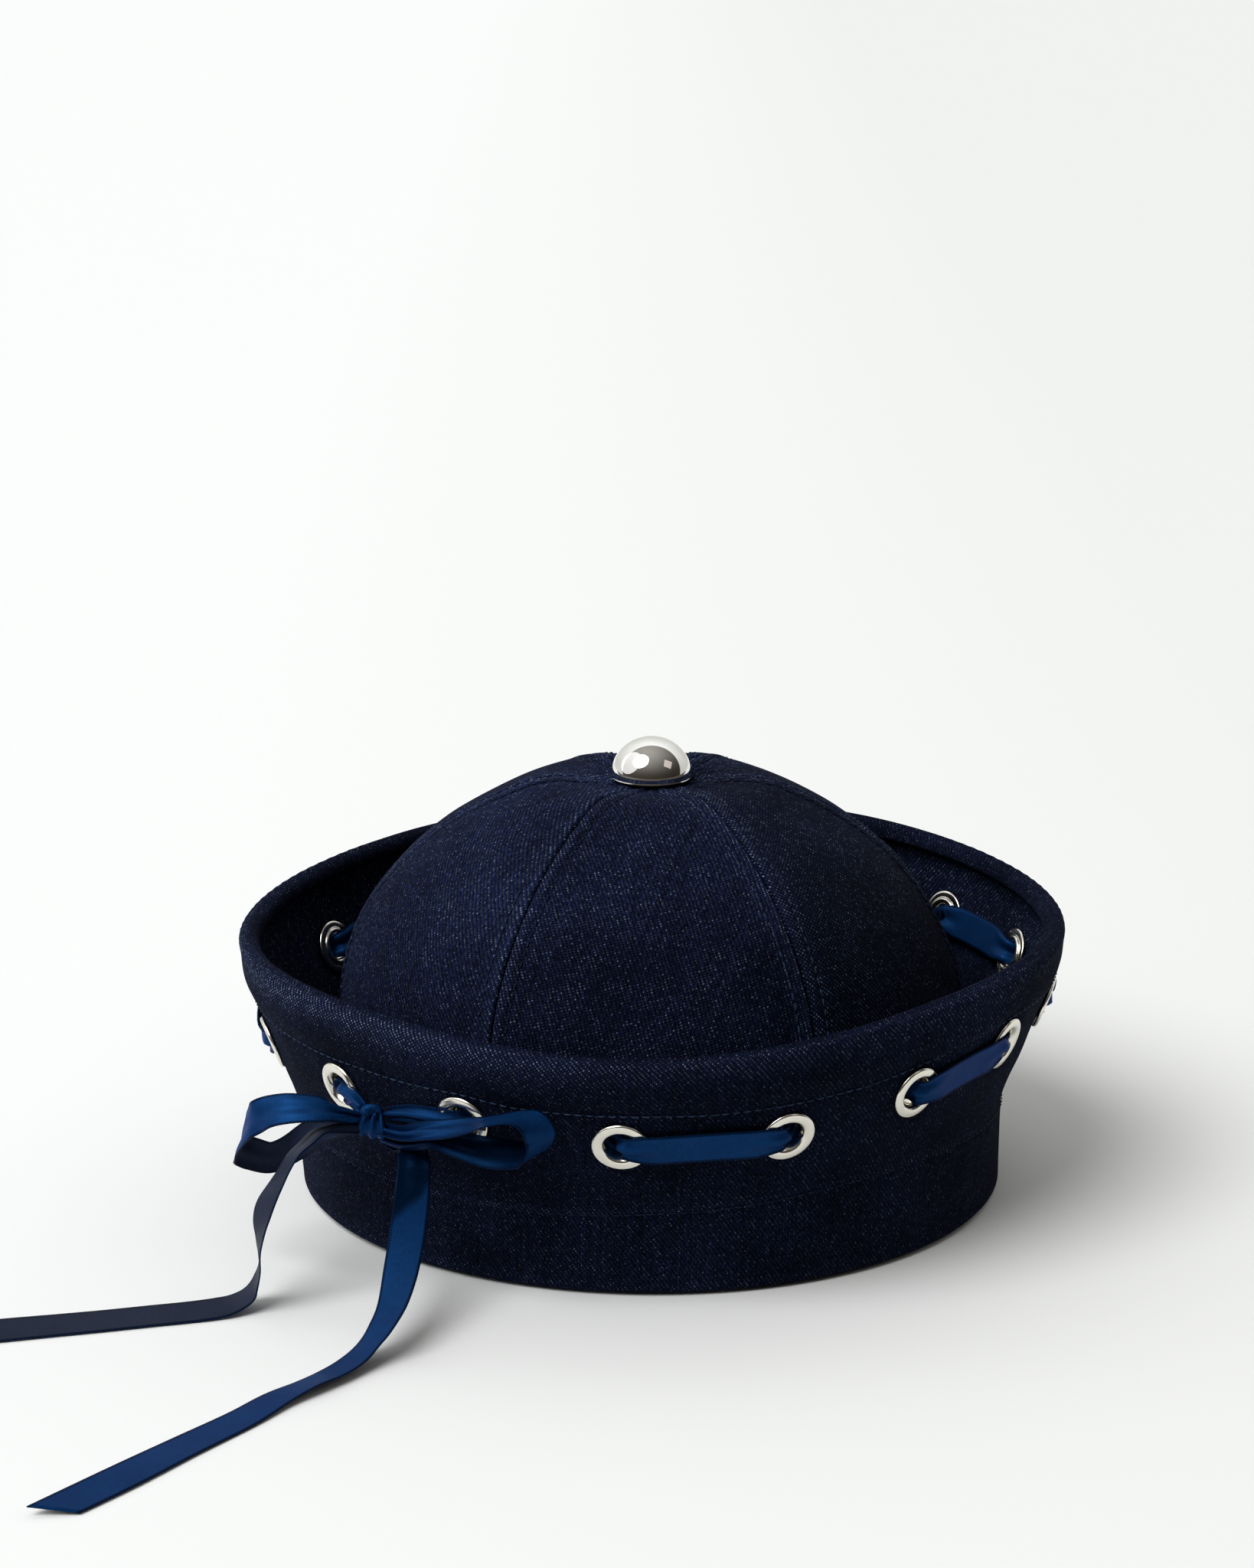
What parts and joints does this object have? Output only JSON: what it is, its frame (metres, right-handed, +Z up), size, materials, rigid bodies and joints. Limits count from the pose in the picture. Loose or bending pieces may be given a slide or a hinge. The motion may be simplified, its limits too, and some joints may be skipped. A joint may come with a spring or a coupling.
{
  "type": "sailor cap",
  "caption": "Soft denim sailor cap with a domed panelled crown, a tall turned-up flared brim, and a ribbon laced through metal eyelets and tied in a bow.",
  "frame": {"origin": "middle of the cap's base on the surface it rests on, the free ribbon and bow left out", "axes": "+Z up through the stud, and -Y towards the front, with the bow at the front left"},
  "size_m": [0.3192, 0.3706, 0.1341],
  "materials": {
    "crown_denim": "indigo twill",
    "brim_denim": "indigo twill",
    "facing_denim": "indigo twill",
    "eyelet_nickel": "polished",
    "stud_chrome": "polished",
    "ribbon_satin": "satin"
  },
  "bodies": {
    "root": {"crown_panel_1": "crown_denim", "crown_panel_2": "crown_denim", "crown_panel_3": "crown_denim", "crown_panel_4": "crown_denim", "crown_panel_5": "crown_denim", "crown_panel_6": "crown_denim", "crown_stud": "stud_chrome", "brim_outer": "brim_denim", "brim_facing": "facing_denim", "eyelet_01": "eyelet_nickel", "eyelet_02": "eyelet_nickel", "eyelet_03": "eyelet_nickel", "eyelet_04": "eyelet_nickel", "eyelet_05": "eyelet_nickel", "eyelet_06": "eyelet_nickel", "eyelet_07": "eyelet_nickel", "eyelet_08": "eyelet_nickel", "eyelet_09": "eyelet_nickel", "eyelet_10": "eyelet_nickel", "eyelet_11": "eyelet_nickel", "eyelet_12": "eyelet_nickel", "eyelet_13": "eyelet_nickel", "eyelet_14": "eyelet_nickel", "eyelet_15": "eyelet_nickel", "eyelet_16": "eyelet_nickel", "ribbon_lacing": "ribbon_satin", "ribbon_knot": "ribbon_satin", "ribbon_loop_left": "ribbon_satin", "ribbon_loop_right": "ribbon_satin", "ribbon_tail_left": "ribbon_satin", "ribbon_tail_right": "ribbon_satin"}
  },
  "joints": []
}
